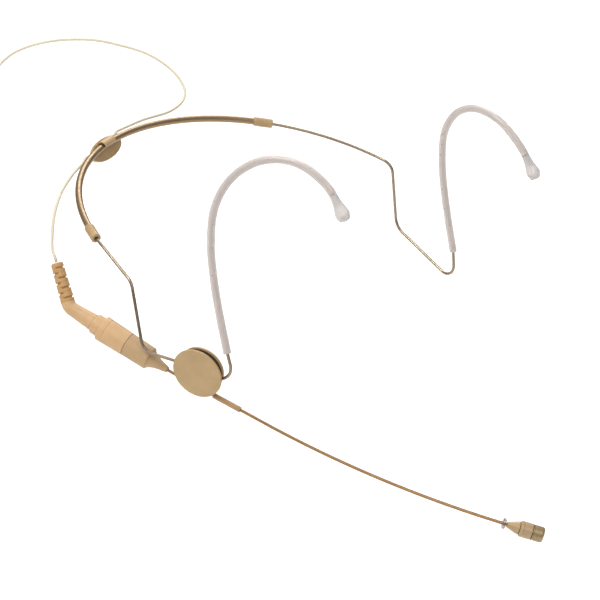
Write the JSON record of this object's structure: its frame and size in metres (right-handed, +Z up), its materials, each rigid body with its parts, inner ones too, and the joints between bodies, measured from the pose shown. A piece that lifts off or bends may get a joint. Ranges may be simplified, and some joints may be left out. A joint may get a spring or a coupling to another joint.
{
  "type": "headset microphone",
  "caption": "Skin-tone headset microphone: sprung neckband, wire ear hooks in clear sleeves, round hub, thin curved boom with small capsule, plug behind the hub and thin cable.",
  "frame": {"origin": "midway between the places where the two ear hooks rest on the ears", "axes": "+Z up as worn, the wearer faces -Y, +X to the wearer's left"},
  "size_m": [0.1795, 0.3689, 0.1528],
  "materials": {
    "bronze_tube": "painted bronze tube, semi-gloss",
    "spring_wire": "bare spring steel, brown-grey",
    "clear_silicone": "milky clear silicone tubing",
    "white_silicone": "milky white soft silicone",
    "tan_plastic": "moulded skin-tone plastic, fine matt",
    "peach_plastic": "moulded lighter peach plastic, matt",
    "peach_rubber": "flexible strain relief, matt",
    "copper_paint": "copper-tan painted thin tube",
    "capsule_metal": "olive-brass metal with woven mesh",
    "cream_jacket": "thin cream cable jacket, satin",
    "dark_plastic": "black plastic",
    "nickel": "satin nickel plating",
    "gold": "gold-plated contacts"
  },
  "bodies": {
    "neckband": {"neckband_tube": "bronze_tube", "end_cap_right": "tan_plastic", "end_cap_left": "tan_plastic", "bush_right": "dark_plastic", "bush_left": "dark_plastic", "cable_tail": "cream_jacket", "cable_coil": "cream_jacket", "coil_tie": "dark_plastic", "cable_end": "cream_jacket", "jack_boot": "dark_plastic", "jack_shell": "nickel", "jack_sleeve": "gold", "jack_insulator": "dark_plastic", "jack_tip": "gold"},
    "jack_ring": {"jack_locking_ring": "nickel"},
    "cable_clip": {"clip_plate": "tan_plastic", "clip_saddle": "tan_plastic"},
    "right_side": {"right_wire": "spring_wire", "right_wire_stop": "spring_wire", "right_ear_sleeve": "clear_silicone", "right_ear_tip": "white_silicone", "hub_front_cover": "tan_plastic", "hub_wire_clamp": "tan_plastic", "hub_friction_washer": "dark_plastic", "hub_rivet": "nickel"},
    "left_side": {"left_wire": "spring_wire", "left_wire_stop": "spring_wire", "left_ear_sleeve": "clear_silicone", "left_ear_tip": "white_silicone"},
    "hub_swivel": {"hub_back_cover": "tan_plastic", "boom_guide": "tan_plastic", "boom_sleeve": "copper_paint", "cable_middle": "cream_jacket"},
    "boom": {"boom_tube": "copper_paint", "drip_ring": "clear_silicone", "capsule_cone": "tan_plastic", "capsule_body": "tan_plastic", "mic_element": "dark_plastic", "socket_cone": "tan_plastic", "socket_housing": "tan_plastic", "socket_insert": "dark_plastic", "plug_collar": "peach_plastic", "plug_pins": "gold", "plug_elbow": "peach_plastic", "ribbed_boot": "peach_rubber", "cable_lower": "cream_jacket"},
    "capsule_cap": {"mesh_cap": "capsule_metal"},
    "plug_ring": {"coupling_ring": "peach_plastic"}
  },
  "joints": [
    {"name": "right_extend", "type": "hinge", "parent": "neckband", "child": "right_side", "pos_m": [0, 0.0484, -0.0447], "axis": [0, -0.2756, 0.9613], "range_deg": [-3, 15], "deforming": ["cable_tail"]},
    {"name": "left_extend", "type": "hinge", "parent": "neckband", "child": "left_side", "pos_m": [0, 0.0484, -0.0447], "axis": [0, 0.2756, -0.9613], "range_deg": [-22, 12]},
    {"name": "clip_slide", "type": "hinge", "parent": "neckband", "child": "cable_clip", "pos_m": [0, 0.0484, -0.0447], "axis": [0, -0.2756, 0.9613], "range_deg": [-3, 3]},
    {"name": "jack_ring_turn", "type": "hinge", "parent": "neckband", "child": "jack_ring", "pos_m": [0.0584, 0.28064, -0.1325], "axis": [0, 0, -1], "continuous": true},
    {"name": "hub_tilt", "type": "hinge", "parent": "right_side", "child": "hub_swivel", "pos_m": [-0.07031, 0.03009, -0.07335], "axis": [-0.9709, -0.1857, -0.1512], "range_deg": [-5, 24], "deforming": ["cable_middle"]},
    {"name": "boom_slide", "type": "slide", "parent": "hub_swivel", "child": "boom", "axis": [0.2281, -0.9091, -0.3487], "range_m": [-0.012, 0.003], "deforming": ["cable_lower"]},
    {"name": "plug_ring_turn", "type": "hinge", "parent": "boom", "child": "plug_ring", "pos_m": [-0.0787, 0.0623, -0.06696], "axis": [0.1982, -0.8924, -0.4055], "continuous": true},
    {"name": "cap_pull", "type": "slide", "parent": "boom", "child": "capsule_cap", "axis": [0.5045, -0.8174, -0.2783], "range_m": [0, 0.004]}
  ]
}
